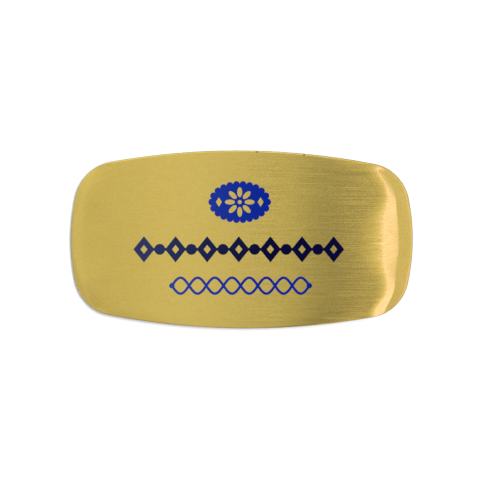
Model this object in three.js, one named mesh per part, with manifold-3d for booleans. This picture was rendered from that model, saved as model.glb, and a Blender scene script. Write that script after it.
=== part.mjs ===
// A name badge: a barrel-shaped plate of thin brushed brass with its two ends bent down, three
// printed ornaments on its flat middle, and a flat magnet bar behind it.
// Millimetres. The badge lies on its back: +X runs along it, +Y points to its top edge and +Z out
// of its face. The origin is under the middle of the magnet bar, on the surface that it lies on.
import * as THREE from 'three';
import { mergeVertices } from 'three/addons/utils/BufferGeometryUtils.js';
import Module from 'manifold-3d';

const wasm = await Module();
wasm.setup();

// Driving dimensions
const rim = { halfWidth: 37.5, halfHeight: 19.4, topRadius: 156.5, sideRadius: 45.5, cornerRadius: 9.6 };
const field = { halfWidth: 24.5, halfHeight: 13.4, topRadius: 150, sideRadius: 34, cornerRadius: 3 };
const sheet = { thickness: 1.0, edgeChamfer: 0.18 };
const bend = { start: 24.4, drop: 1.5, power: 3.3, waveDepth: 4.6, waveAt: 10.35, wavePower: 3.5,
               fadeEnd: 16.8, fadePower: 5.2, leastWidth: 6.7 };
const magnet = { length: 45, width: 13, thickness: 2.4, cornerRadius: 2, edgeChamfer: 0.3 };
const ink = { thickness: 0.1, turn: 0.0082 };
const emblem = { x: -0.5, y: 8.15, halfLength: 6.1, halfHeight: 3.85, scallops: 22, scallopRadius: 0.75 };
const flower = { petals: 8, petalMiddle: 2.15, petalHalfLength: 1.1, petalHalfWidth: 0.55, eyeRadius: 0.45,
                 sideLozenge: 4.55, sideHalfLength: 0.65, sideHalfHeight: 1.05 };
const nameBand = { x: -0.7, y: -2.17, lozenges: 7, pitch: 6.9, halfLength: 2.3, halfHeight: 2.85,
                   voidScale: 0.34, pelletRadius: 1.2, ruleHalfHeight: 0.3 };
const roleBand = { x: -0.3, y: -10.1, eyes: 8, eyeLength: 3.75, amplitude: 1.75, strokeWidth: 0.55,
                   tipRadius: 0.6 };

// How finely the round stretches are cut
const steps = { side: 12, corner: 12, top: 22, roll: 7, edging: 44, oval: 16, eye: 10 };

// Heights above the surface that the badge lies on
const fieldUnderside = magnet.thickness;
const fieldTop = fieldUnderside + sheet.thickness;

const colours = { brass: 0xd9b95c, royalBlue: 0x14309a, navy: 0x0a0f3c, nickel: 0xb9bcc0 };

// The meeting point, right of and above the middle, of two circles about a and b.
function circlesMeet(a, radiusA, b, radiusB) {
  const span = b.clone().sub(a);
  const distance = span.length();
  const along = (radiusA ** 2 - radiusB ** 2 + distance ** 2) / (2 * distance);
  const across = Math.sqrt(radiusA ** 2 - along ** 2);
  const unit = span.normalize();
  const foot = a.clone().addScaledVector(unit, along);
  return foot.addScaledVector(new THREE.Vector2(unit.y, -unit.x), across);
}

// A barrel has eight arcs, each tangent to the next: two long arcs above and below, two at the
// ends, and a small one in each corner, whose centre lies where the circles about the centres of
// its neighbours meet. These are the centres, and the directions in which one arc meets the next.
function barrelArcs({ halfWidth, halfHeight, topRadius, sideRadius, cornerRadius }) {
  const topCentre = new THREE.Vector2(0, halfHeight - topRadius);
  const sideCentre = new THREE.Vector2(halfWidth - sideRadius, 0);
  const corner = circlesMeet(topCentre, topRadius - cornerRadius, sideCentre, sideRadius - cornerRadius);
  const sideTurn = corner.clone().sub(sideCentre).angle();
  const topTurn = corner.clone().sub(topCentre).angle();
  return { topCentre, sideCentre, corner, sideTurn, topTurn };
}

// The outline's points, anticlockwise, starting at the lower end of the right-hand arc.
function barrelOutline(barrel) {
  const { topRadius, sideRadius, cornerRadius } = barrel;
  const { topCentre, sideCentre, corner, sideTurn, topTurn } = barrelArcs(barrel);
  const { PI } = Math;
  const arcs = [
    [sideCentre.x, 0, sideRadius, -sideTurn, sideTurn, steps.side],
    [corner.x, corner.y, cornerRadius, sideTurn, topTurn, steps.corner],
    [0, topCentre.y, topRadius, topTurn, PI - topTurn, steps.top],
    [-corner.x, corner.y, cornerRadius, PI - topTurn, PI - sideTurn, steps.corner],
    [-sideCentre.x, 0, sideRadius, PI - sideTurn, PI + sideTurn, steps.side],
    [-corner.x, -corner.y, cornerRadius, PI + sideTurn, PI + topTurn, steps.corner],
    [0, -topCentre.y, topRadius, PI + topTurn, 2 * PI - topTurn, steps.top],
    [corner.x, -corner.y, cornerRadius, 2 * PI - topTurn, 2 * PI - sideTurn, steps.corner],
  ];
  return arcs.flatMap(([x, y, radius, from, to, count]) => {
    const arc = new THREE.EllipseCurve(x, y, radius, radius, from, to);
    return arc.getPoints(count).slice(0, -1);
  });
}

// A closed mesh through rings of equal point count, the first and last shut by a fan to their middle.
function loftRings(rings) {
  const around = rings[0].length;
  const fans = [rings[0], rings.at(-1)].map((ring) => new THREE.Vector3(0, 0, ring[0].z));
  const positions = [...rings.flat(), ...fans].flatMap((point) => point.toArray());
  const index = [];
  const firstFan = rings.length * around;
  for (let side = 0; side < around; side += 1) {
    const next = (side + 1) % around;
    for (let row = 0; row + 1 < rings.length; row += 1) {
      const here = row * around;
      const below = here + around;
      index.push(here + side, below + side, below + next, here + side, below + next, here + next);
    }
    const last = (rings.length - 1) * around;
    index.push(firstFan, side, next, firstFan + 1, last + next, last + side);
  }
  const geometry = new THREE.BufferGeometry();
  geometry.setAttribute('position', new THREE.Float32BufferAttribute(positions, 3));
  geometry.setIndex(index);
  return geometry;
}

// How far the rim is from the middle, along X, at a height y up the plate.
function rimReach(y) {
  const { topCentre, sideCentre, corner, sideTurn, topTurn } = barrelArcs(rim);
  const reach = (centre, radius) => centre.x + Math.sqrt(radius ** 2 - (y - centre.y) ** 2);
  if (y < rim.sideRadius * Math.sin(sideTurn)) {
    return reach(sideCentre, rim.sideRadius);
  }
  if (y < corner.y + rim.cornerRadius * Math.sin(topTurn)) {
    return reach(corner, rim.cornerRadius);
  }
  return reach(topCentre, rim.topRadius);
}

// How far the sheet has sunk at a place. Each end bends down beyond a waved line, with a growing
// slope. The line stands farthest out at waveAt above and below the middle, so the bend is tightest
// there, and the bend fades out towards the long edges, which stay flat.
function bendDrop(place) {
  const y = Math.min(Math.abs(place.y), rim.halfHeight);
  const wave = Math.abs(Math.sin(Math.PI / 2 * y / bend.waveAt)) ** bend.wavePower;
  const line = bend.start + bend.waveDepth * wave;
  const width = Math.max(rimReach(y) - line, bend.leastWidth);
  const share = Math.max(Math.abs(place.x) - line, 0) / width;
  const fade = Math.max(1 - (y / bend.fadeEnd) ** bend.fadePower, 0);
  return bend.drop * fade * Math.min(share, 1) ** bend.power;
}

// The plate. Every ring lies between the border of the flat field (blend 0) and the rim (blend 1).
function facePlate() {
  const inner = barrelOutline(field);
  const outer = barrelOutline(rim);
  const ring = (blend, lift, inset = 0) => outer.map((point, i) => {
    const place = inner[i].clone().lerp(point, blend);
    const pull = 1 - inset / place.length();
    return new THREE.Vector3(place.x * pull, place.y * pull, fieldTop - bendDrop(place) + lift);
  });
  const blends = Array.from({ length: steps.roll }, (_, i) => i / steps.roll);
  const chamfer = sheet.edgeChamfer;
  const top = blends.map((blend) => ring(blend, 0));
  const edge = [ring(1, 0, chamfer), ring(1, -chamfer), ring(1, chamfer - sheet.thickness),
                ring(1, -sheet.thickness, chamfer)];
  const underside = blends.map((blend) => ring(blend, -sheet.thickness)).reverse();
  return loftRings([...top, ...edge, ...underside]);
}

// A flat outline raised to the thickness of the ink, as a solid that can be joined and cut.
function inkSolid(outline) {
  const geometry = new THREE.ExtrudeGeometry(outline, { depth: ink.thickness, bevelEnabled: false });
  geometry.deleteAttribute('normal');
  geometry.deleteAttribute('uv');
  const merged = mergeVertices(geometry);
  return new wasm.Manifold(new wasm.Mesh({
    numProp: 3,
    vertProperties: merged.attributes.position.array,
    triVerts: new Uint32Array(merged.index.array),
  }));
}

function meshGeometry(solid) {
  const { vertProperties, triVerts } = solid.getMesh();
  const geometry = new THREE.BufferGeometry();
  geometry.setAttribute('position', new THREE.Float32BufferAttribute(vertProperties, 3));
  geometry.setIndex(Array.from(triVerts));
  return geometry;
}

const joined = (solids) => solids.reduce((whole, solid) => whole.add(solid));

// An ellipse turned by an angle from +X, or a disc where one radius is given.
function oval(x, y, halfLength, halfHeight = halfLength, turn = 0, count = steps.oval) {
  const curve = new THREE.EllipseCurve(x, y, halfLength, halfHeight, 0, 2 * Math.PI, false, turn);
  return new THREE.Shape(curve.getPoints(count).slice(0, -1));
}

function lozenge(x, halfLength, halfHeight) {
  return new THREE.Shape([
    new THREE.Vector2(x - halfLength, 0), new THREE.Vector2(x, -halfHeight),
    new THREE.Vector2(x + halfLength, 0), new THREE.Vector2(x, halfHeight)]);
}

// The upper ornament: an oval medallion with a scalloped edge. An open flower and a lozenge on
// each side of it are left out of the ink, so that the metal shows through them.
function emblemPrint() {
  const { halfLength, halfHeight, scallops, scallopRadius } = emblem;
  const edging = new THREE.EllipseCurve(0, 0, halfLength, halfHeight);
  const bumps = edging.getSpacedPoints(scallops).slice(0, -1)
    .map(({ x, y }) => inkSolid(oval(x, y, scallopRadius)));
  const body = inkSolid(oval(0, 0, halfLength, halfHeight, 0, steps.edging));
  const petals = Array.from({ length: flower.petals }, (_, i) => {
    const angle = i * 2 * Math.PI / flower.petals;
    const [x, y] = [Math.cos(angle), Math.sin(angle)].map((part) => part * flower.petalMiddle);
    return inkSolid(oval(x, y, flower.petalHalfLength, flower.petalHalfWidth, angle));
  });
  const sides = [-1, 1].map((side) => (
    inkSolid(lozenge(side * flower.sideLozenge, flower.sideHalfLength, flower.sideHalfHeight))));
  const eye = inkSolid(oval(0, 0, flower.eyeRadius));
  return meshGeometry(joined([body, ...bumps]).subtract(joined([eye, ...petals, ...sides])));
}

// The middle ornament: open lozenges with round pellets between them, strung on a thin rule.
function namePrint() {
  const { lozenges, pitch, halfLength, halfHeight, voidScale, pelletRadius, ruleHalfHeight } = nameBand;
  const reach = (lozenges - 1) / 2 * pitch;
  const places = Array.from({ length: lozenges }, (_, i) => i * pitch - reach);
  const diamonds = places.map((x) => inkSolid(lozenge(x, halfLength, halfHeight)));
  const voids = places.map((x) => inkSolid(lozenge(x, halfLength * voidScale, halfHeight * voidScale)));
  const pellets = places.slice(1).map((x) => inkSolid(oval(x - pitch / 2, 0, pelletRadius)));
  const rule = inkSolid(new THREE.Shape([
    new THREE.Vector2(-reach, -ruleHalfHeight), new THREE.Vector2(reach, -ruleHalfHeight),
    new THREE.Vector2(reach, ruleHalfHeight), new THREE.Vector2(-reach, ruleHalfHeight)]));
  return meshGeometry(joined([rule, ...diamonds, ...pellets]).subtract(joined(voids)));
}

// One strand of the twist: a sine wave of even stroke width, upright (sign 1) or mirrored (-1).
function strand(sign) {
  const { eyes, eyeLength, amplitude, strokeWidth } = roleBand;
  const count = eyes * steps.eye;
  const turnRate = Math.PI / eyeLength;
  const side = (offset) => Array.from({ length: count + 1 }, (_, i) => {
    const along = i / count * eyes * eyeLength;
    const slope = sign * amplitude * turnRate * Math.cos(turnRate * along);
    const stretch = Math.hypot(1, slope);
    const x = along - eyes * eyeLength / 2 - offset * slope / stretch;
    return new THREE.Vector2(x, sign * amplitude * Math.sin(turnRate * along) + offset / stretch);
  });
  return new THREE.Shape([...side(-strokeWidth / 2), ...side(strokeWidth / 2).reverse()]);
}

// The lower ornament: two strands that cross and part again, with a round tip at each end.
function rolePrint() {
  const reach = roleBand.eyes * roleBand.eyeLength / 2;
  const strands = [1, -1].map((sign) => inkSolid(strand(sign)));
  const tips = [-1, 1].map((side) => inkSolid(oval(side * reach, 0, roleBand.tipRadius)));
  return meshGeometry(joined([...strands, ...tips]));
}

// The fastening: one flat bar with rounded corners and softened long edges.
function magnetBar() {
  const chamfer = magnet.edgeChamfer;
  const radius = magnet.cornerRadius - chamfer;
  const x = magnet.length / 2 - magnet.cornerRadius;
  const y = magnet.width / 2 - magnet.cornerRadius;
  const outline = new THREE.Shape();
  outline.absarc(x, -y, radius, -Math.PI / 2, 0);
  outline.absarc(x, y, radius, 0, Math.PI / 2);
  outline.absarc(-x, y, radius, Math.PI / 2, Math.PI);
  outline.absarc(-x, -y, radius, Math.PI, Math.PI * 1.5);
  const geometry = new THREE.ExtrudeGeometry(outline, {
    depth: magnet.thickness - 2 * chamfer,
    bevelThickness: chamfer, bevelSize: chamfer, bevelSegments: 1, curveSegments: 6,
  });
  return geometry.translate(0, 0, chamfer);
}

function piece(name, geometry, color, roughness, metalness, x = 0, y = 0) {
  const mesh = new THREE.Mesh(geometry, new THREE.MeshStandardMaterial({ color, roughness, metalness }));
  mesh.name = name;
  mesh.position.set(x, y, 0);
  return mesh;
}

// The ink lies on the field, and the whole print is turned a little from the plate's own axis.
const print = new THREE.Group();
print.position.z = fieldTop;
print.rotation.z = ink.turn;
print.add(
  piece('emblem_print', emblemPrint(), colours.royalBlue, 0.35, 0, emblem.x, emblem.y),
  piece('name_print', namePrint(), colours.navy, 0.35, 0, nameBand.x, nameBand.y),
  piece('role_print', rolePrint(), colours.royalBlue, 0.35, 0, roleBand.x, roleBand.y),
);

const badge = new THREE.Group();
badge.add(
  piece('face_plate', facePlate(), colours.brass, 0.3, 1),
  print,
  piece('magnet_bar', magnetBar(), colours.nickel, 0.3, 1),
);

export default badge;
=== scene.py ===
# %% [markdown]
# A name badge, lying on its back and seen from straight above.
#
# The badge is a barrel-shaped plate of thin brass, brushed along its length, with its two ends bent
# down. Blue ink is printed on the flat middle, and a flat magnet bar sits behind it.
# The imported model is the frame: it gives every piece its place and size, in metres, with the
# badge's length along X, its top edge towards +Y and its face towards +Z.

import math

import bpy
import numpy as np
from mathutils import Euler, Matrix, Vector


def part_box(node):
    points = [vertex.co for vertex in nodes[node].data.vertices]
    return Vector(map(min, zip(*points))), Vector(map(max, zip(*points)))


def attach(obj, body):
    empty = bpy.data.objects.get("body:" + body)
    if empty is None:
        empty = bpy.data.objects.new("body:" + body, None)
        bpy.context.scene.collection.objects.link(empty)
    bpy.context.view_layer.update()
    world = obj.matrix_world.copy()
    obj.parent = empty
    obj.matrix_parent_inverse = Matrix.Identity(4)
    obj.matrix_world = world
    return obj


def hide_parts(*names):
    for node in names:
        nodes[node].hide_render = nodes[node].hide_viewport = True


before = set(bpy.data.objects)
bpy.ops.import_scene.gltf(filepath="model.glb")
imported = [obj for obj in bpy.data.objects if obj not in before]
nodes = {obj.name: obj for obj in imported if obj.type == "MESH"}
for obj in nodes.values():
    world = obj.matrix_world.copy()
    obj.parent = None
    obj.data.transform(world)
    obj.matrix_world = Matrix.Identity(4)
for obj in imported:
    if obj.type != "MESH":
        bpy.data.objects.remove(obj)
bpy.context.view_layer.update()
MM = 0.001
print("pieces in the frame:", sorted(nodes))

# %% [markdown]
# The plate's outline and form come from a few sizes. The overall ones are read from the frame. The
# radii are the real plate's: long flat arcs above and below, tighter ones at the ends, and round
# corners. The flat middle has the same kind of outline, only smaller.

# %% Sizes of the plate
plate_low, plate_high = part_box("face_plate")
RIM = dict(half_width=plate_high.x, half_height=plate_high.y,
           top_radius=156.5 * MM, side_radius=45.5 * MM, corner_radius=9.6 * MM)
FIELD = dict(half_width=24.5 * MM, half_height=13.4 * MM,
             top_radius=150 * MM, side_radius=34 * MM, corner_radius=3 * MM)
FIELD_TOP = plate_high.z
SHEET = 1.0 * MM
BEND = dict(start=24.4 * MM, drop=plate_high.z - plate_low.z - SHEET, power=3.3,
            wave_depth=4.6 * MM, wave_at=10.35 * MM, wave_power=3.5,
            fade_end=16.8 * MM, fade_power=5.2, least_width=6.7 * MM)
print("plate, mm:", round(2 * plate_high.x / MM, 2), "by", round(2 * plate_high.y / MM, 2),
      "ends sink", round(BEND["drop"] / MM, 2))

# %% [markdown]
# An outline of arcs could be drawn as a curve object and converted, but the section has to be
# swept between two different outlines, so plain points are easier. First come the arcs: a corner's
# arc touches the long arc and the end's arc from inside, and that gives its centre.

# %% The arcs of an outline
def barrel_arcs(half_width, half_height, top_radius, side_radius, corner_radius):
    """Centres of the top, side and corner arcs, and the directions in which one meets the next."""
    top_y = half_height - top_radius
    side_x = half_width - side_radius
    top_reach = top_radius - corner_radius
    side_reach = side_radius - corner_radius
    span = math.hypot(side_x, top_y)
    along = (top_reach ** 2 - side_reach ** 2 + span ** 2) / (2 * span)
    across = math.sqrt(top_reach ** 2 - along ** 2)
    ux, uy = side_x / span, -top_y / span
    corner_x = ux * along + uy * across
    corner_y = top_y + uy * along - ux * across
    side_turn = math.atan2(corner_y, corner_x - side_x)
    top_turn = math.atan2(corner_y - top_y, corner_x)
    return top_y, side_x, corner_x, corner_y, side_turn, top_turn


rim_arcs = barrel_arcs(**RIM)
print("rim's corner centre, mm:", [round(v / MM, 2) for v in rim_arcs[2:4]])

# %% [markdown]
# Then the points: the eight arcs are walked round in turn, and each point also gets its outward
# direction. The plate is lofted through rings of such points, so both outlines have equally many.

# %% Points round the outline
SIDE_STEPS, CORNER_STEPS, TOP_STEPS = 40, 44, 84


def barrel(shape):
    """Points and outward directions, anticlockwise, of eight arcs that run into each other."""
    top_radius, side_radius, corner_radius = (shape[k + "_radius"] for k in ("top", "side", "corner"))
    top_y, side_x, corner_x, corner_y, side_turn, top_turn = barrel_arcs(**shape)
    right = [
        (side_x, 0, side_radius, -side_turn, side_turn, SIDE_STEPS),
        (corner_x, corner_y, corner_radius, side_turn, top_turn, CORNER_STEPS),
        (0, top_y, top_radius, top_turn, math.pi - top_turn, TOP_STEPS),
        (-corner_x, corner_y, corner_radius, math.pi - top_turn, math.pi - side_turn, CORNER_STEPS),
    ]
    left = [(-x, -y, radius, start + math.pi, stop + math.pi, steps)
            for x, y, radius, start, stop, steps in right]
    points, outward = [], []
    for x, y, radius, start, stop, steps in right + left:
        turns = start + (stop - start) * np.arange(steps) / steps
        ways = np.stack([np.cos(turns), np.sin(turns)], axis=1)
        points.append(np.array([x, y]) + radius * ways)
        outward.append(ways)
    return np.concatenate(points), np.concatenate(outward)


rim_points, rim_outward = barrel(RIM)
field_points, _ = barrel(FIELD)
print("points round the rim:", len(rim_points))

# %% [markdown]
# The plate was stamped from 1 mm sheet, and the press bent its ends down so that it follows the
# chest. The middle is flat for the print. Beyond a slightly waved line each end sinks with a
# growing slope, most at the tip and hardly at the long edges. That form is what makes the lamp's
# reflection a curved band with a waist near each corner. It is written as a height for each place.

# %% The form of the ends
def rim_reach(y):
    """How far the rim is from the middle, along X, at heights y up the plate."""
    top_y, side_x, corner_x, corner_y, side_turn, top_turn = rim_arcs

    def reach(x, centre_y, radius):
        return x + np.sqrt(np.maximum(radius ** 2 - (y - centre_y) ** 2, 0))

    on_side = y < RIM["side_radius"] * math.sin(side_turn)
    on_corner = y < corner_y + RIM["corner_radius"] * math.sin(top_turn)
    return np.where(on_side, reach(side_x, 0, RIM["side_radius"]),
                    np.where(on_corner, reach(corner_x, corner_y, RIM["corner_radius"]),
                             reach(0, top_y, RIM["top_radius"])))


def bend_drop(places):
    """How far the sheet has sunk at each place."""
    x, y = np.abs(places[:, 0]), np.minimum(np.abs(places[:, 1]), RIM["half_height"])
    wave = np.abs(np.sin(math.pi / 2 * y / BEND["wave_at"])) ** BEND["wave_power"]
    line = BEND["start"] + BEND["wave_depth"] * wave
    width = np.maximum(rim_reach(y) - line, BEND["least_width"])
    share = np.clip((x - line) / width, 0, 1)
    fade = np.maximum(1 - (y / BEND["fade_end"]) ** BEND["fade_power"], 0)
    return BEND["drop"] * fade * share ** BEND["power"]


rim_drops = bend_drop(rim_points)
print("rim sinks by 0 to", round(rim_drops.max() / MM, 2), "mm")

# %% [markdown]
# At the lower right corner the tool's edge left a crease a fiftieth of a millimetre high, which
# gives the reflected lamp a sharper edge there. A bump in the material would do that too, but as
# part of the form it bends the shading as the real one does. It is a low ridge along a slanting
# line, and it fades in towards the bottom edge.

# %% The crease
CREASE = dict(top=-12.6 * MM, full=-14.0 * MM, x=29.8 * MM, y=-13.3 * MM, lean=0.5,
              width=1.2 * MM, height=0.02 * MM)


def crease(places):
    """How far the fine crease at the lower right corner stands up at each place."""
    x, y = places[:, 0], places[:, 1]
    share = np.clip((y - CREASE["top"]) / (CREASE["full"] - CREASE["top"]), 0, 1)
    aside = (x - CREASE["x"] - CREASE["lean"] * (y - CREASE["y"])) / CREASE["width"]
    return CREASE["height"] * share ** 2 * (3 - 2 * share) * np.exp(-aside ** 2)


print("crease, mm:", round(crease(rim_points).max() / MM, 3), "at most along the rim")

# %% [markdown]
# The mesh is lofted through rings, from the middle of the face to the middle of the back. Shearing
# drew the face down a little along its border, which bends the reflections there. The cut edge has
# a fine rounded shoulder, which catches light as a thin bright line. It is widest at the top right,
# where the edge was dressed hardest, and hardly there at the bottom left.

# %% One ring of the plate
SHOULDER, LEAST_SHOULDER = 0.36 * MM, 0.1 * MM
DRESSED_MOST = (0.77, 0.64)
DRAWN = dict(width=3.2 * MM, depth=0.08 * MM)
dressed = 0.5 + 0.5 * (rim_outward @ np.array(DRESSED_MOST))
shoulder = LEAST_SHOULDER + (SHOULDER - LEAST_SHOULDER) * dressed


def ring(blend, lift=0.0, inset=0.0):
    """One ring of the sheet: blend 0 is the border of the flat middle and 1 the rim."""
    places = field_points + (rim_points - field_points) * blend
    heights = FIELD_TOP - bend_drop(places) + crease(places) + lift
    on_face = np.max(lift) > -SHEET / 2
    if on_face:
        to_rim = np.linalg.norm(rim_points - places, axis=1)
        heights -= DRAWN["depth"] * np.clip(1 - to_rim / DRAWN["width"], 0, 1) ** 2
    return np.column_stack([places - rim_outward * np.reshape(inset, (-1, 1)), heights])


def field_ring(share, lift=0.0):
    """A smaller copy of the border of the flat middle."""
    places = field_points * share
    return np.column_stack([places, np.full(len(places), FIELD_TOP + lift)])


print("shoulder, mm:", round(shoulder.min() / MM, 2), "to", round(shoulder.max() / MM, 2))

# %% [markdown]
# The section runs from the middle of the face over the rim to the middle of the back. The rings
# are close together where the form bends, and closest on the shoulder. The last ring before the
# shoulder stops short of the rim to leave it room, and the shoulder's own rings follow a quarter
# turn, which starts a little way round.

# %% The plate's section
FIELD_RINGS, BEND_RINGS, SHOULDER_STEPS = 8, 40, 5
LAST_BLEND = 0.96
FIRST_TURN, LAST_TURN = 0.35, math.pi / 2
inner_blends = np.linspace(0, LAST_BLEND, BEND_RINGS)
shares = np.arange(1, FIELD_RINGS) / FIELD_RINGS
turns = np.linspace(FIRST_TURN, LAST_TURN, SHOULDER_STEPS)
section = [field_ring(share) for share in shares]
section += [ring(blend) for blend in inner_blends]
section += [ring(1, -shoulder * (1 - math.cos(turn)), shoulder * (1 - math.sin(turn)))
            for turn in turns]
face_rings = len(section)
section += [ring(1, -SHEET + shoulder * (1 - math.cos(turn)), shoulder * (1 - math.sin(turn)))
            for turn in reversed(turns)]
edge_rings = len(section)
section += [ring(blend, -SHEET) for blend in reversed(inner_blends)]
section += [field_ring(share, -SHEET) for share in reversed(shares)]
print("rings:", len(section), "of which on the face", face_rings)

# %% [markdown]
# Quads join each ring to the next, and a fan of triangles shuts each end.

# %% The plate's mesh
def loft(name, rings):
    """A closed mesh through rings of equal point count, shut at both ends by a fan."""
    around = len(rings[0])
    middles = [[0, 0, rings[0][0][2]], [0, 0, rings[-1][0][2]]]
    verts = np.concatenate(rings + [np.array(middles)])
    first, last = len(rings) * around, len(rings) * around + 1
    step = np.arange(around)
    after = (step + 1) % around
    faces = []
    for row in range(len(rings) - 1):
        here, below = row * around, (row + 1) * around
        faces += np.stack([here + step, below + step, below + after, here + after], axis=1).tolist()
    faces += [[first, int(a), int(b)] for a, b in zip(step, after)]
    low = (len(rings) - 1) * around
    faces += [[last, int(low + b), int(low + a)] for a, b in zip(step, after)]
    mesh = bpy.data.meshes.new(name)
    mesh.from_pydata(verts.tolist(), [], faces)
    mesh.validate()
    mesh.shade_smooth()
    return mesh


plate_mesh = loft("brushed_plate", section)
print("plate faces:", len(plate_mesh.polygons))

# %% [markdown]
# The plate stands for the frame's plate. It also gets a flat map, whose first direction runs along
# the badge: the shader takes the grooves' way from it.

# %% The plate as a piece
def place(name, mesh, node):
    """Puts a mesh in the scene as the piece that stands for a node of the frame."""
    piece = bpy.data.objects.new(name, mesh)
    bpy.context.scene.collection.objects.link(piece)
    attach(piece, "root")
    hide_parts(node)


brushing = plate_mesh.uv_layers.new(name="brushing")
for loop in plate_mesh.loops:
    spot = plate_mesh.vertices[loop.vertex_index].co
    brushing.data[loop.index].uv = (spot.x / MM, (spot.y + spot.z) / MM)
place("brushed_plate", plate_mesh, "face_plate")
print("plate's flat map:", len(brushing.data), "corners")

# %% [markdown]
# Materials are made of nodes. Three small helpers keep them short: one turns an sRGB hex colour to
# the linear values that a shader works in, one adds a node with its settings and its links, and
# one starts a material.

# %% Helpers for materials
def linear(code):
    """An sRGB hex colour, such as E7CC6D, as linear red, green, blue and alpha."""
    parts = [int(code[i:i + 2], 16) / 255 for i in (0, 2, 4)]
    return [p / 12.92 if p <= 0.04045 else ((p + 0.055) / 1.055) ** 2.4 for p in parts] + [1.0]


def add(tree, kind, inputs=None, **settings):
    """Adds one node, with its settings, and with values or links for its inputs."""
    node = tree.nodes.new("ShaderNode" + kind)
    for key, value in settings.items():
        setattr(node, key, value)
    for key, value in (inputs or {}).items():
        if isinstance(value, bpy.types.NodeSocket):
            tree.links.new(value, node.inputs[key])
        else:
            node.inputs[key].default_value = value
    return node


def new_material(name):
    """An empty material, its node tree and its output node."""
    material = bpy.data.materials.new(name)
    material.use_nodes = True
    material.node_tree.nodes.clear()
    return material, material.node_tree, material.node_tree.nodes.new("ShaderNodeOutputMaterial")


print("brass colour, linear:", [round(part, 3) for part in linear("E7CC6D")[:3]])

# %% [markdown]
# The patterns are drawn from noise in the badge's own space, so that their sizes are real ones.
# Pictures of brushed metal could be wrapped on instead, but noise has no seams and no pixels.

# %% Patterns in millimetres
def place_in_mm(tree):
    """The place on the object, in millimetres."""
    object_spot = add(tree, "TexCoord").outputs["Object"]
    return add(tree, "VectorMath", {0: object_spot, 3: 1 / MM}, operation="SCALE").outputs[0]


def drawn_noise(tree, spot_mm, length, width, detail=2.0, roughness=0.5):
    """Noise from 0 to 1 whose marks are about length by width millimetres, along X."""
    scaled = add(tree, "VectorMath", {0: spot_mm, 1: (1 / length, 1 / width, 1 / width)},
                 operation="MULTIPLY")
    return add(tree, "TexNoise", {"Vector": scaled.outputs[0], "Scale": 1.0, "Detail": detail,
                                  "Roughness": roughness}).outputs[0]


print("one unit of a pattern is", MM, "m")

# %% [markdown]
# Brushed brass. An abrasive belt was drawn along the sheet and left grooves a few hundredths of a
# millimetre wide. Each groove is smooth along its length and round across it, so the metal is
# nearly a mirror along X and spreads light along Y: that is anisotropy, with a low roughness.
# The eye sees long streaks wherever what is reflected changes along X, because every groove is
# tilted a little. So the streaks are mostly small tilts of the normal, not paint: they show beside
# the reflected lamp and fade where the room is even, as on the real plate.
# Real grooves are finer than a pixel, so they are drawn 0.16 to 0.6 mm wide. Each noise below has
# the length and the width of one kind of mark, in millimetres.

# %% The brushed brass
BRASS, BRASS_WARM = "E7CC6D", "E7C868"
GROOVE_TILT = 0.042
brass, tree, out = new_material("brushed_brass")
spot_mm = place_in_mm(tree)
fine = drawn_noise(tree, spot_mm, 14.0, 0.17, detail=0.0)
broad = drawn_noise(tree, spot_mm, 26.0, 0.6, detail=1.0)
short = drawn_noise(tree, spot_mm, 4.0, 0.16, detail=0.0)
hairline = drawn_noise(tree, spot_mm, 11.0, 0.2, detail=0.0)
grain = drawn_noise(tree, spot_mm, 0.3, 0.16, detail=0.0)
clouds = drawn_noise(tree, spot_mm, 1.6, 0.6, detail=2.0)
print("brass has", len(tree.nodes), "nodes for its noises")

# %% [markdown]
# The belt bit harder towards the right-hand end, so the streaks are plain there and faint on the
# left, and it lifted off again where that end bends away. Masks along the plate give that, each
# from one place to another in millimetres from the badge's middle. One more mask places the painted
# groove shade: it reaches further left, and is a little weaker near the bottom edge.

# %% Where the belt bit
BITE = {"From Min": 0.0, "From Max": 18.0, "To Min": 0.15, "To Max": 1.0}
LIFT = {"From Min": 29.0, "From Max": 34.0, "To Min": 1.0, "To Max": 0.3}
GROOVE_SHADE_SPAN = {"From Min": -6.0, "From Max": 7.0, "To Min": 0.1, "To Max": 1.0}
WEAKER_LOW = {"From Min": -14.0, "From Max": 0.0, "To Min": 0.7, "To Max": 1.0}
along, up, _ = add(tree, "SeparateXYZ", {0: spot_mm}).outputs
bite, lifted, groove_shade_reach = (
    add(tree, "MapRange", {"Value": along, **reach}, interpolation_type="SMOOTHSTEP").outputs[0]
    for reach in (BITE, LIFT, GROOVE_SHADE_SPAN))
weaker = add(tree, "MapRange", {"Value": up, **WEAKER_LOW}).outputs[0]
bite = add(tree, "Math", {0: bite, 1: lifted}, operation="MULTIPLY").outputs[0]
groove_shade_reach = add(tree, "Math", {0: groove_shade_reach, 1: lifted}, operation="MULTIPLY").outputs[0]
groove_shade_reach = add(tree, "Math", {0: groove_shade_reach, 1: weaker}, operation="MULTIPLY").outputs[0]
print("belt bites fully from", BITE["From Max"], "to", LIFT["From Min"], "mm right of the middle")

# %% [markdown]
# The grooves tilt the normal, across themselves twice as much as along. Fine streaks and hairline
# scores also darken the metal a little: that is painted shade, for the shade that a groove's walls
# cast on one another. The belt's grit also leaves a fine grain between them. Each is a weighted sum
# of the noises, centred on zero.

# %% Grooves in the brass, and their painted shade
def weighted(*terms):
    """The sum of values from 0 to 1, each centred on 0 and times its weight."""
    total = -sum(weight for _, weight in terms) / 2
    for value, weight in terms:
        total = add(tree, "Math", {0: value, 1: weight, 2: total}, operation="MULTIPLY_ADD").outputs[0]
    return total


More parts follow.
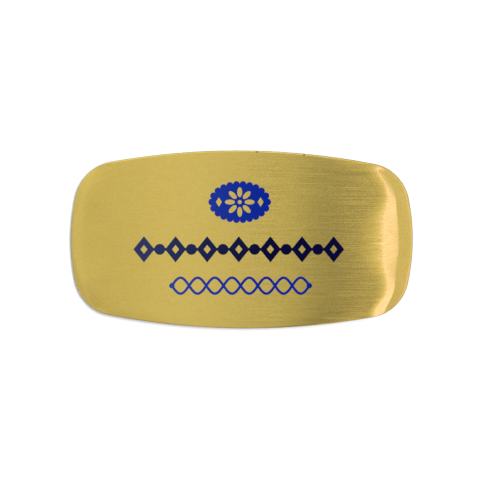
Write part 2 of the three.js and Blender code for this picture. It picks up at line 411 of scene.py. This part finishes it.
streaks = weighted((fine, 0.5), (short, 0.2), (broad, 0.17), (grain, 0.15))
bitten = add(tree, "Math", {0: streaks, 1: bite}, operation="MULTIPLY").outputs[0]
tilt_x = add(tree, "Math", {0: bitten, 1: GROOVE_TILT}, operation="MULTIPLY").outputs[0]
tilt_y = add(tree, "Math", {0: bitten, 1: 2 * GROOVE_TILT}, operation="MULTIPLY").outputs[0]
tilt = add(tree, "CombineXYZ", {"X": tilt_x, "Y": tilt_y}).outputs[0]
surface_normal = add(tree, "NewGeometry").outputs["Normal"]
tilted = add(tree, "VectorMath", {0: surface_normal, 1: tilt}, operation="ADD").outputs[0]
groove_normal = add(tree, "VectorMath", {0: tilted}, operation="NORMALIZE").outputs[0]
# Painted shade: the shade that the grooves' walls cast on one another, painted as darker streaks, plus the
# grit's grain.
groove_wall_shade = weighted((fine, 0.2), (hairline, 0.38), (grain, 0.36))
groove_shade_and_grain = add(tree, "Math", {0: groove_wall_shade, 1: groove_shade_reach, 2: weighted((grain, 0.17))},
               operation="MULTIPLY_ADD").outputs[0]
groove_shade_and_grain = add(tree, "Math", {0: groove_shade_and_grain, 1: 1.0}, operation="ADD").outputs[0]
patches = add(tree, "MapRange", {"Value": clouds, "From Min": 0.38, "From Max": 0.62}).outputs[0]
shade = add(tree, "Mix", {0: patches, 6: linear(BRASS), 7: linear(BRASS_WARM)}, data_type="RGBA")
grooved = add(tree, "VectorMath", {0: shade.outputs[2], 3: groove_shade_and_grain}, operation="SCALE").outputs[0]
print("brass has", len(tree.nodes), "nodes with its grooves")

# %% [markdown]
# Use has left three tiny nicks, two dark specks at the top edge and a faint dark rub near the
# bottom one. The nicks are painted paler than the metal round them: a painted glint, for the light
# that they catch. Each is a short stroke: its place is turned into lengths along and across it, and
# the stroke is where the two, measured in half lengths and half widths, stay within a circle.

# %% Nicks and specks
NICK_GLINT, SPECK_DARK, RUB_SHADE = "FFEFB4", "6B5A3A", -0.2
SOLID_PART, THROUGH = 0.4, 1e3
NICKS = [(17.9, 7.7, -52, 0.32, 0.12), (21.8, -5.6, -12, 0.34, 0.13), (27.2, -14.6, 20, 0.18, 0.08)]
SPECKS = [(3.06, 19.12, 0, 0.3, 0.2), (13.4, 18.55, 5, 0.3, 0.2)]
RUBS = [(19.6, -15.8, 0, 1.0, 0.2), (21.3, -15.9, 2, 1.1, 0.24), (17.9, -16.2, 0, 0.6, 0.16)]


def strokes(marks):
    """A mask on strokes of x, y, angle, half length and half width, in mm and degrees."""
    total = 0.0
    for x, y, turn, half_length, half_width in marks:
        local = add(tree, "Mapping", {"Vector": spot_mm, "Location": (x, y, 0),
                                      "Rotation": (0, 0, math.radians(turn)),
                                      "Scale": (half_length, half_width, THROUGH)},
                    vector_type="TEXTURE").outputs[0]
        radius = add(tree, "VectorMath", {0: local}, operation="LENGTH").outputs["Value"]
        mark = add(tree, "MapRange", {"Value": radius, "From Min": 1.0, "From Max": SOLID_PART}).outputs[0]
        total = add(tree, "Math", {0: mark, 1: total}, operation="ADD").outputs[0]
    return total


rub = add(tree, "Math", {0: strokes(RUBS), 1: RUB_SHADE, 2: 1.0}, operation="MULTIPLY_ADD").outputs[0]
rubbed = add(tree, "VectorMath", {0: grooved, 3: rub}, operation="SCALE").outputs[0]
# The nicks are painted pale: a painted glint, for the light that they catch.
glinted = add(tree, "Mix", {0: strokes(NICKS), 6: rubbed, 7: linear(NICK_GLINT)}, data_type="RGBA")
colour = add(tree, "Mix", {0: strokes(SPECKS), 6: glinted.outputs[2], 7: linear(SPECK_DARK)},
             data_type="RGBA").outputs[2]
print("marks:", len(NICKS), "nicks,", len(SPECKS), "specks,", len(RUBS), "rubs")

# %% [markdown]
# The shader itself: nearly a mirror along the grooves, and soft across them. The metal keeps the
# shader's own index, and its colour is that of its straight-on reflection. The tangent of the
# plate's flat map tells it which way the grooves run.

# %% The brass shader
along_grooves = add(tree, "Tangent", direction_type="UV_MAP", uv_map="brushing").outputs[0]
metal = add(tree, "BsdfPrincipled", {
    "Base Color": colour, "Metallic": 1.0, "Roughness": 0.15, "Anisotropic": 1.0,
    "Anisotropic Rotation": 0.25, "Normal": groove_normal, "Tangent": along_grooves})
tree.links.new(metal.outputs[0], out.inputs[0])
plate_mesh.materials.append(brass)
print("brass has", len(tree.nodes), "nodes in all")

# %% [markdown]
# The back of the plate was never brushed. It keeps the dull, slightly tarnished skin of the rolled
# sheet: rougher, browner and cloudy. The faces between the back's rings get it.

# %% The back of the plate
SKIN_LIGHT, SKIN_DARK = "D2AC55", "9C7A3A"
raw, tree, out = new_material("mill_brass")
spot_mm = place_in_mm(tree)
tarnish = drawn_noise(tree, spot_mm, 6.0, 6.0, detail=4.0, roughness=0.6)
rolled = drawn_noise(tree, spot_mm, 9.0, 0.5, detail=2.0)
shade = add(tree, "Mix", {0: tarnish, 6: linear(SKIN_LIGHT), 7: linear(SKIN_DARK)}, data_type="RGBA")
rough = add(tree, "MapRange", {"Value": rolled, "To Min": 0.3, "To Max": 0.5}).outputs[0]
skin = add(tree, "BsdfPrincipled", {"Base Color": shade.outputs[2], "Metallic": 1.0, "Roughness": rough})
tree.links.new(skin.outputs[0], out.inputs[0])
plate_mesh.materials.append(raw)
BRUSHED, BACK, CUT = range(3)
around = len(rim_points)
first_back = (edge_rings - 1) * around
for face in plate_mesh.polygons:
    face.material_index = BACK if min(face.vertices) >= first_back else BRUSHED
print("faces on the back:", sum(face.material_index == BACK for face in plate_mesh.polygons))

# %% [markdown]
# The blank was sheared from the sheet, so its cut edge is rough. Its dark colour is painted shade,
# and seen from the front it is a dark hairline round the plate, outside the bright shoulder.

# %% The cut edge
# Both colours of the cut edge are painted shade, darker than the brass.
CUT_SHADE_LIGHT, CUT_SHADE_DARK = "8E7A4C", "5E5236"
BRIGHT_STEPS = 1
sheared, tree, out = new_material("sheared_edge")
spot_mm = place_in_mm(tree)
burr = drawn_noise(tree, spot_mm, 0.4, 0.4, detail=2.0)
shade = add(tree, "Mix", {0: burr, 6: linear(CUT_SHADE_LIGHT), 7: linear(CUT_SHADE_DARK)}, data_type="RGBA")
cut = add(tree, "BsdfPrincipled", {"Base Color": shade.outputs[2], "Metallic": 1.0, "Roughness": 0.55})
tree.links.new(cut.outputs[0], out.inputs[0])
plate_mesh.materials.append(sheared)
first_cut = (face_rings - SHOULDER_STEPS + BRIGHT_STEPS) * around
for face in plate_mesh.polygons:
    if first_cut <= min(face.vertices) < first_back:
        face.material_index = CUT
print("faces on the cut edge:", sum(face.material_index == CUT for face in plate_mesh.polygons))

# %% [markdown]
# Printing ink. The badge is pad-printed with two blues. Cured ink is a thin film of plastic: the
# pigment gives an even, deep colour and the skin a soft gloss, with a faint orange-peel from the
# pad. Its index is that of most resins, about 1.5. A little grain breaks up the flat colour.
# Towards the left end the colour is mixed towards a paler, greyer blue: that is a painted sheen, a
# reflection painted into the ink's colour. Seen from straight above the ink itself hardly shines,
# so its reflection is set low. The prints keep the frame's own solids, whose outlines are already
# exact.

# %% The two inks
# Each ink: its own colour, the paler colour of its painted sheen, and the prints it is on.
INKS = {"royal_blue_ink": ("001A78", "283D82", ("emblem_print", "role_print")),
        "navy_ink": ("000027", "242C4F", ("name_print",))}
SHEEN_FROM, SHEEN_TO, SHEEN_POWER = 8.0, -21.0, 1.6
for name, (dense, sheened, printed) in INKS.items():
    ink, tree, out = new_material(name)
    spot_mm = place_in_mm(tree)
    cover = drawn_noise(tree, spot_mm, 0.35, 0.35, detail=2.0)
    peel = drawn_noise(tree, spot_mm, 0.6, 0.6, detail=1.0)
    density = add(tree, "MapRange", {"Value": cover, "From Min": 0.3, "From Max": 0.7,
                                     "To Min": 0.88, "To Max": 1.12}).outputs[0]
    along = add(tree, "SeparateXYZ", {0: spot_mm}).outputs["X"]
    # Towards the left end the ink is mixed towards its paler colour: a painted sheen.
    haze = add(tree, "MapRange", {"Value": along, "From Min": SHEEN_FROM, "From Max": SHEEN_TO}).outputs[0]
    haze = add(tree, "Math", {0: haze, 1: SHEEN_POWER}, operation="POWER").outputs[0]
    shade = add(tree, "Mix", {0: haze, 6: linear(dense), 7: linear(sheened)}, data_type="RGBA").outputs[2]
    colour = add(tree, "VectorMath", {0: shade, 3: density}, operation="SCALE").outputs[0]
    bump = add(tree, "Bump", {"Strength": 0.15, "Distance": 0.02 * MM, "Height": peel}).outputs[0]
    film = add(tree, "BsdfPrincipled", {
        "Base Color": colour, "Roughness": 0.35, "IOR": 1.5, "Specular IOR Level": 0.05,
        "Normal": bump})
    tree.links.new(film.outputs[0], out.inputs[0])
    for node in printed:
        nodes[node].data.materials.clear()
        nodes[node].data.materials.append(ink)
    print(name, "is on", printed)

# %% [markdown]
# The magnet bar. Such a bar is a strip of steel and magnets, plated and tumbled, so its edges are
# soft. It hides behind the plate. A cube with a bevel would do, but the loft is there already, so
# the bar is lofted too, through rings of a rectangle with round corners that grow towards its
# middle.

# %% The form of the magnet bar
bar_low, bar_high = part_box("magnet_bar")
BAR_CORNER, BAR_EDGE = 2.0 * MM, 0.4 * MM
BAR_STEPS, EDGE_RINGS = 8, 5
SHARP_FROM = math.radians(40)


def slab_ring(height, inset):
    """A rectangle with round corners, at one height, smaller than the bar by inset."""
    reach_x, reach_y = bar_high.x - BAR_CORNER, bar_high.y - BAR_CORNER
    points = []
    for quarter, (sx, sy) in enumerate(((1, 1), (-1, 1), (-1, -1), (1, -1))):
        for step in range(BAR_STEPS + 1):
            turn = (quarter + step / BAR_STEPS) * math.pi / 2
            radius = BAR_CORNER - inset
            points.append((sx * reach_x + radius * math.cos(turn),
                           sy * reach_y + radius * math.sin(turn), height))
    return np.array(points)


quarter_turns = np.linspace(0, math.pi / 2, EDGE_RINGS)
bar_rings = [slab_ring(bar_high.z - BAR_EDGE * (1 - math.sin(t)), BAR_EDGE * (1 - math.cos(t)))
             for t in reversed(quarter_turns)]
bar_rings += [slab_ring(bar_low.z + BAR_EDGE * (1 - math.sin(t)), BAR_EDGE * (1 - math.cos(t)))
              for t in quarter_turns]
bar_mesh = loft("magnet_bar_body", bar_rings)
bar_mesh.set_sharp_from_angle(angle=SHARP_FROM)
place("magnet_bar_body", bar_mesh, "magnet_bar")
print("bar faces:", len(bar_mesh.polygons))

# %% [markdown]
# Satin nickel. The plating is a thin hard skin of nickel on steel, and tumbling leaves it evenly
# dull, so it shows soft, pale grey reflections with a slight cloudiness.

# %% The nickel plating
NICKEL_LIGHT, NICKEL_DARK = "C9C8C4", "B4B3AE"
nickel, tree, out = new_material("satin_nickel")
spot_mm = place_in_mm(tree)
haze = drawn_noise(tree, spot_mm, 1.5, 1.5, detail=3.0)
rough = add(tree, "MapRange", {"Value": haze, "To Min": 0.25, "To Max": 0.4}).outputs[0]
shade = add(tree, "Mix", {0: haze, 6: linear(NICKEL_LIGHT), 7: linear(NICKEL_DARK)}, data_type="RGBA")
plating = add(tree, "BsdfPrincipled", {
    "Base Color": shade.outputs[2], "Metallic": 1.0, "Roughness": rough})
tree.links.new(plating.outputs[0], out.inputs[0])
bar_mesh.materials.append(nickel)
print("plating has", len(tree.nodes), "nodes")

# %% [markdown]
# The floor is a sheet of white board that fills the view. It isn't part of the badge.

# %% The floor
FLOOR_HALF, FLOOR_CLEAR = 1.5, 0.02 * MM
BOARD_WHITE = "F2F4EE"
corners = [(x * FLOOR_HALF, y * FLOOR_HALF, -FLOOR_CLEAR) for x, y in ((-1, -1), (1, -1), (1, 1), (-1, 1))]
floor_mesh = bpy.data.meshes.new("floor")
floor_mesh.from_pydata(corners, [], [(0, 1, 2, 3)])
floor = bpy.data.objects.new("floor", floor_mesh)
bpy.context.scene.collection.objects.link(floor)
board, tree, out = new_material("white_board")
paper = add(tree, "BsdfPrincipled", {"Base Color": linear(BOARD_WHITE), "Roughness": 0.9,
                                     "Specular IOR Level": 0.1})
tree.links.new(paper.outputs[0], out.inputs[0])
floor_mesh.materials.append(board)
print("floor is", 2 * FLOOR_HALF, "m wide")

# %% [markdown]
# The camera looks straight down from a long lens's distance, so the badge shows almost without
# perspective. The badge was photographed half a degree askew, so the camera is rolled by as much.

# %% The camera
IMAGE_SIDE = 480
PIXEL = 0.21935 * MM
BADGE_IN_IMAGE = (242.0, 239.4)
LENS, SENSOR = 100.0, 36.0
ROLL = math.radians(0.47)
view_width = IMAGE_SIDE * PIXEL
distance = view_width * LENS / SENSOR
off_x = (IMAGE_SIDE / 2 - BADGE_IN_IMAGE[0]) * PIXEL
off_y = (BADGE_IN_IMAGE[1] - IMAGE_SIDE / 2) * PIXEL
camera_data = bpy.data.cameras.new("camera")
camera_data.lens, camera_data.sensor_width = LENS, SENSOR
camera_data.clip_start = 0.01
camera = bpy.data.objects.new("camera", camera_data)
bpy.context.scene.collection.objects.link(camera)
rim_height = FIELD_TOP - BEND["drop"]
aim = Vector((off_x, off_y, 0)) @ Euler((0, 0, -ROLL)).to_matrix()
camera.location = (aim.x, aim.y, rim_height + distance)
camera.rotation_euler = (0, 0, ROLL)
bpy.context.scene.camera = camera
print("camera is", round(distance / MM), "mm above the rim")

# %% [markdown]
# The room. Brushed metal shows what it reflects, so the room is drawn with care: an even pale
# room, a darker gap just right of the camera, then a cool strip lamp with a hard outer edge. Cards
# and lamps could be set up for that, but a room that is drawn as the world's colour can be matched
# degree by degree. Each direction in which the plate looks has a sideways part, a part up the
# picture and a part towards the camera. The grooves spread light up and down, so the sideways part
# matters most.

# %% The directions that the plate sees
world = bpy.data.worlds.new("room")
bpy.context.scene.world = world
world.use_nodes = True
tree = world.node_tree
tree.nodes.clear()
way = add(tree, "TexCoord").outputs["Generated"]
sideways, upward, outward = add(tree, "SeparateXYZ", {0: way}).outputs
print("the world is named", world.name, "and has", len(tree.nodes), "nodes so far")

# %% [markdown]
# The lamp's outer edge is cut slantwise, so the strip is narrower towards the top. That is made by
# looking the light up further out, the more the higher the direction leans. It starts past the
# lamp's middle and fades out again towards the side walls.

# %% The slanting edge of the lamp
CUT_HEIGHT, CUT_SLANT = 0.2, 2.0
PAST_MIDDLE = {"From Min": 0.22, "From Max": 0.3}
BEFORE_WALL = {"From Min": 0.85, "From Max": 0.5}
past = add(tree, "MapRange", {"Value": sideways, **PAST_MIDDLE}).outputs[0]
before = add(tree, "MapRange", {"Value": sideways, **BEFORE_WALL}).outputs[0]
slant = add(tree, "Math", {0: before, 1: CUT_SLANT}, operation="MULTIPLY").outputs[0]
height = add(tree, "MapRange", {"Value": upward, "From Max": CUT_HEIGHT, "To Max": CUT_HEIGHT}).outputs[0]
shift = add(tree, "Math", {0: height, 1: slant}, operation="MULTIPLY").outputs[0]
looked_up = add(tree, "Math", {0: past, 1: shift, 2: sideways}, operation="MULTIPLY_ADD").outputs[0]
print("the lamp's edge shifts sideways by up to", CUT_HEIGHT * CUT_SLANT)

# %% [markdown]
# The room's light changes mostly across it, between two side walls. It is listed as the colour in
# each direction, from the left wall over the gap and the lamp to the right wall.

# %% The light across the room
ROOM = [  # degrees to the right of straight up, then the light's red, green and blue
    (-75, (0.60, 0.60, 0.60)),
    (-50, (0.76, 0.77, 0.76)),
    (-38, (0.75, 0.75, 0.73)),
    (-31, (0.70, 0.70, 0.66)),
    (-5, (0.70, 0.70, 0.66)),
    (-3, (0.79, 0.79, 0.78)),
    (-1.6, (0.76, 0.77, 0.77)),
    (0.8, (0.64, 0.65, 0.65)),
    (2.1, (0.63, 0.64, 0.59)),
    (3.2, (0.41, 0.42, 0.43)),
    (3.7, (0.32, 0.33, 0.37)),
    (4.4, (0.30, 0.32, 0.37)),
    (5.1, (0.54, 0.53, 0.53)),
    (6.7, (0.65, 0.64, 0.59)),
    (10.2, (0.85, 0.82, 0.82)),
    (13.4, (1.14, 1.03, 1.33)),
    (15.7, (1.40, 1.24, 2.05)),
    (29.6, (1.46, 1.31, 2.30)),
    (30.0, (0.76, 0.75, 0.70)),
    (38.5, (0.78, 0.76, 0.76)),
    (63, (0.83, 0.78, 0.86)),
    (71, (0.96, 0.87, 1.00)),
    (75, (1.25, 1.10, 1.35)),
]
print("room light: stops", len(ROOM), "from", ROOM[0][0], "to", ROOM[-1][0], "degrees")

# %% [markdown]
# The list becomes a ramp over the sideways part. A ramp holds values up to 1, so the light is
# stored as a share of a top value and made strong again at the end.

# %% The ramp of light
WALL = math.sin(math.radians(ROOM[-1][0]))
TOP_LIGHT = 2.5
across = add(tree, "MapRange", {"Value": looked_up, "From Min": -WALL, "From Max": WALL}).outputs[0]


def ramp_of(value, stops):
    """A straight ramp through stops of place from 0 to 1 and colour."""
    node = add(tree, "ValToRGB", {0: value})
    while len(node.color_ramp.elements) < len(stops):
        node.color_ramp.elements.new(0.5)
    for element, (spot, _) in zip(node.color_ramp.elements, stops):
        element.position = spot
    for element, (_, shade) in zip(node.color_ramp.elements, stops):
        element.color = [*shade, 1.0]
    return node.outputs[0]


room_stops = [(0.5 + 0.5 * math.sin(math.radians(angle)) / WALL, [part / TOP_LIGHT for part in light])
              for angle, light in ROOM]
room_light = ramp_of(across, room_stops)
print("brightest light is", max(max(light) for _, light in ROOM), "of a top value of", TOP_LIGHT)

# %% [markdown]
# The gap closes towards the top of the picture: there the ramp runs into an even light. Towards
# the bottom it opens a little more. The whole room also brightens upwards, in steps that were read
# off the plate's borders, which lean.

# %% The light from bottom to top
EVEN_LIGHT = 0.70
GAP_CLOSING, MOST_OPEN = 1.8, -0.15
HEIGHTS = [  # how far up the picture the direction leans, then how bright the room is there
    (-0.9, 0.65), (-0.4, 0.92), (-0.12, 0.95), (0.12, 1.05), (0.4, 1.0), (0.6, 1.3), (0.9, 1.9),
]
MOST_UP = 2.0
closing = add(tree, "Math", {0: upward, 1: GAP_CLOSING}, operation="MULTIPLY").outputs[0]
closing = add(tree, "Math", {0: closing, 1: MOST_OPEN}, operation="MAXIMUM").outputs[0]
even_light = [EVEN_LIGHT / TOP_LIGHT] * 3 + [1.0]
closed = add(tree, "Mix", {0: closing, 6: room_light, 7: even_light}, data_type="RGBA",
             clamp_factor=False).outputs[2]
from_bottom = add(tree, "MapRange", {"Value": upward, "From Min": -1.0}).outputs[0]
gain = ramp_of(from_bottom, [(0.5 + 0.5 * lean, [part / MOST_UP] * 3) for lean, part in HEIGHTS])
graded = add(tree, "VectorMath", {0: closed, 1: gain}, operation="MULTIPLY").outputs[0]
print("room brightens from", HEIGHTS[0][1], "to", HEIGHTS[-1][1])

# %% [markdown]
# The left wall brightens upwards a little more. Low down, all round, the floor and the far walls
# glow evenly, so the ramp gives way to a plain light near the horizon.

# %% The left wall and the horizon
LEFT_TWIST = {"From Min": -0.12, "From Max": 0.0, "To Min": 0.3, "To Max": 0.0}
TWIST_REACH = {"From Min": -0.3, "From Max": 0.3, "To Min": -0.3, "To Max": 0.3}
HORIZON = {"From Min": 0.45, "From Max": 0.0}
HORIZON_LIGHT = 0.85
twist = add(tree, "MapRange", {"Value": sideways, **LEFT_TWIST}).outputs[0]
leaning = add(tree, "MapRange", {"Value": upward, **TWIST_REACH}).outputs[0]
left = add(tree, "Math", {0: leaning, 1: twist, 2: 1.0}, operation="MULTIPLY_ADD").outputs[0]
left = add(tree, "Math", {0: left, 1: MOST_UP}, operation="MULTIPLY").outputs[0]
graded = add(tree, "VectorMath", {0: graded, 3: left}, operation="SCALE").outputs[0]
horizon = add(tree, "MapRange", {"Value": outward, **HORIZON}, interpolation_type="SMOOTHSTEP").outputs[0]
glow = [HORIZON_LIGHT / TOP_LIGHT] * 3 + [1.0]
mixed = add(tree, "Mix", {0: horizon, 6: graded, 7: glow}, data_type="RGBA").outputs[2]
lit = add(tree, "Background", {"Color": mixed, "Strength": TOP_LIGHT})
add(tree, "OutputWorld", {0: lit.outputs[0]})
print("room nodes:", len(tree.nodes))

# %% [markdown]
# A soft lamp from the upper right throws the badge's narrow shadow to the lower left. The room
# already holds what the metal reflects, so this lamp is hidden from reflections.

# %% The key lamp
KEY_STRENGTH, KEY_SOFTNESS = 2.1, math.radians(14)
KEY_FROM = Vector((0.34, 0.12, 1.0))
key_data = bpy.data.lights.new("key", "SUN")
key_data.energy = KEY_STRENGTH
key_data.angle = KEY_SOFTNESS
key = bpy.data.objects.new("key", key_data)
bpy.context.scene.collection.objects.link(key)
key.rotation_mode = "QUATERNION"
key.rotation_quaternion = KEY_FROM.to_track_quat("Z", "Y")
key.visible_glossy = False
print("key lamp is", round(math.degrees(KEY_FROM.angle(Vector((0, 0, 1))))), "degrees off straight above")

# %% [markdown]
# The colours were matched as plain sRGB values, so the view transform is the plain one.

# %% Colour
bpy.context.scene.view_settings.view_transform = "Standard"
